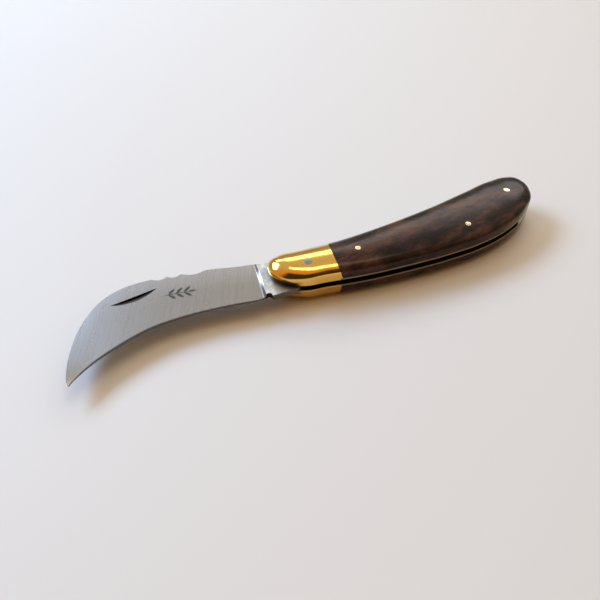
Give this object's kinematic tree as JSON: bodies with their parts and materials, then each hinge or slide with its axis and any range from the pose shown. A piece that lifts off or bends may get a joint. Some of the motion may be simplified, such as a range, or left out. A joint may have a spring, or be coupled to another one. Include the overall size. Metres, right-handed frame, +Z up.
{
  "type": "folding pruning knife",
  "caption": "Folding pruning knife with a hawkbill blade, brass bolsters and liners, and dark wooden scales, lying open on its side.",
  "frame": {"origin": "where the pivot axis meets the flat crown that the knife lies on", "axes": "+X from the pivot to the butt along the handle, +Y towards the back spring, +Z up along the pivot axis"},
  "size_m": [0.1799, 0.033, 0.0135],
  "materials": {
    "blade_steel": "satin, ground across the blade",
    "spring_steel": "satin",
    "pivot_steel": "polished, flush with the bolster",
    "bolster_brass": "polished",
    "liner_brass": "satin edges",
    "pin_brass": "polished",
    "dark_wood": "oiled satin, dark streaked hardwood"
  },
  "bodies": {
    "handle": {"back_spring": "spring_steel", "liner_upper": "liner_brass", "liner_lower": "liner_brass", "bolster_upper": "bolster_brass", "bolster_lower": "bolster_brass", "scale_upper": "dark_wood", "scale_lower": "dark_wood", "pivot_pin": "pivot_steel", "butt_pin": "pin_brass", "spring_pin": "pin_brass", "scale_pins": "pin_brass"},
    "blade": {"blade": "blade_steel"}
  },
  "joints": [
    {"name": "blade_pivot", "type": "hinge", "parent": "handle", "child": "blade", "pos_m": [0, 0, 0.00675], "axis": [0, 0, 1], "range_deg": [0, 176]}
  ]
}
